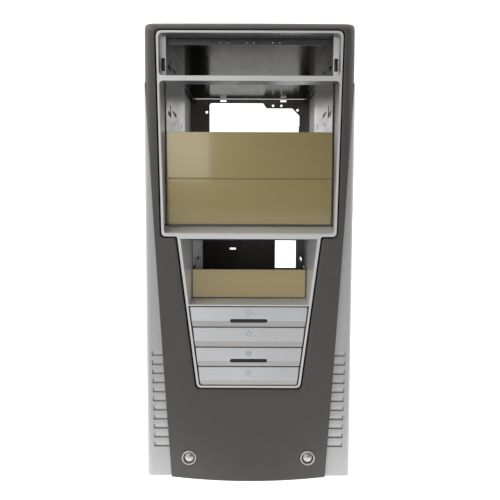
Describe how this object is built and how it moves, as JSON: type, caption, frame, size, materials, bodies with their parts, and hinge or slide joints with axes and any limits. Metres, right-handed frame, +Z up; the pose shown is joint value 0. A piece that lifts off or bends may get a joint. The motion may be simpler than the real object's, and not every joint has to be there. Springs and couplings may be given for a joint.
{
  "type": "desktop computer tower",
  "caption": "Empty mid-tower computer case: silver and graphite plastic bezel with tapering bay frame, power and reset bars, steel chassis with sliding side panels.",
  "frame": {"origin": "on the surface the case stands on, under the middle of its width and depth", "axes": "+Z up, -Y out of the bezel's front, +X to the right of someone who looks at the front"},
  "size_m": [0.1814, 0.454, 0.4017],
  "materials": {
    "silver_plastic": "fine-grained silver paint, satin",
    "bar_silver": "smooth silver paint, semi-gloss",
    "graphite_plastic": "fine-grained dark metallic paint, satin",
    "smoked_lens": "smoked, glossy",
    "chrome_trim": "polished plating",
    "zinc_steel": "zinc-coated sheet, rolled",
    "blank_steel": "yellow-passivated zinc plate, glossy",
    "panel_paint": "grey powder coat",
    "black_plastic": "moulded black",
    "rubber": "matt black rubber",
    "led_lens": "clear moulded resin",
    "screw_steel": "nickel-plated"
  },
  "bodies": {
    "case": {"bezel_base": "silver_plastic", "front_shield": "graphite_plastic", "bay_trim": "silver_plastic", "power_light_bar": "bar_silver", "drive_light_bar": "bar_silver", "power_light_lens": "smoked_lens", "drive_light_lens": "smoked_lens", "power_led": "led_lens", "drive_led": "led_lens", "power_switch": "black_plastic", "reset_switch": "black_plastic", "control_bracket": "black_plastic", "upper_bay_blank": "blank_steel", "lower_bay_blank": "blank_steel", "small_bay_blank": "blank_steel", "front_frame": "zinc_steel", "top_panel": "zinc_steel", "base_panel": "zinc_steel", "rear_panel": "zinc_steel", "mainboard_tray": "zinc_steel", "left_cage_wall": "zinc_steel", "right_cage_wall": "zinc_steel", "bay_shelf": "zinc_steel", "small_drive_cage": "zinc_steel", "case_speaker": "black_plastic", "left_stud_ring": "silver_plastic", "left_stud": "chrome_trim", "left_bracket_screw": "screw_steel", "left_front_foot": "rubber", "left_rear_foot": "rubber", "right_stud_ring": "silver_plastic", "right_stud": "chrome_trim", "right_bracket_screw": "screw_steel", "right_front_foot": "rubber", "right_rear_foot": "rubber", "slot_cover_1": "zinc_steel", "slot_screw_1": "screw_steel", "slot_cover_2": "zinc_steel", "slot_screw_2": "screw_steel", "slot_cover_3": "zinc_steel", "slot_screw_3": "screw_steel", "slot_cover_4": "zinc_steel", "slot_screw_4": "screw_steel", "slot_cover_5": "zinc_steel", "slot_screw_5": "screw_steel", "slot_cover_6": "zinc_steel", "slot_screw_6": "screw_steel"},
    "power_key": {"power_button": "bar_silver", "power_switch_plunger": "black_plastic"},
    "reset_key": {"reset_button": "bar_silver", "reset_switch_plunger": "black_plastic"},
    "left_panel": {"left_side_panel": "panel_paint", "left_lower_thumbscrew": "screw_steel", "left_upper_thumbscrew": "screw_steel"},
    "right_panel": {"right_side_panel": "panel_paint", "right_lower_thumbscrew": "screw_steel", "right_upper_thumbscrew": "screw_steel"}
  },
  "joints": [
    {"name": "power_press", "type": "slide", "parent": "case", "child": "power_key", "axis": [0, 1, 0], "range_m": [0, 0.0025], "stiffness_N_per_m": 600},
    {"name": "reset_press", "type": "slide", "parent": "case", "child": "reset_key", "axis": [0, 1, 0], "range_m": [0, 0.0025], "stiffness_N_per_m": 600},
    {"name": "left_panel_slide", "type": "slide", "parent": "case", "child": "left_panel", "axis": [0, 1, 0], "range_m": [0, 0.02]},
    {"name": "right_panel_slide", "type": "slide", "parent": "case", "child": "right_panel", "axis": [0, 1, 0], "range_m": [0, 0.02]}
  ]
}
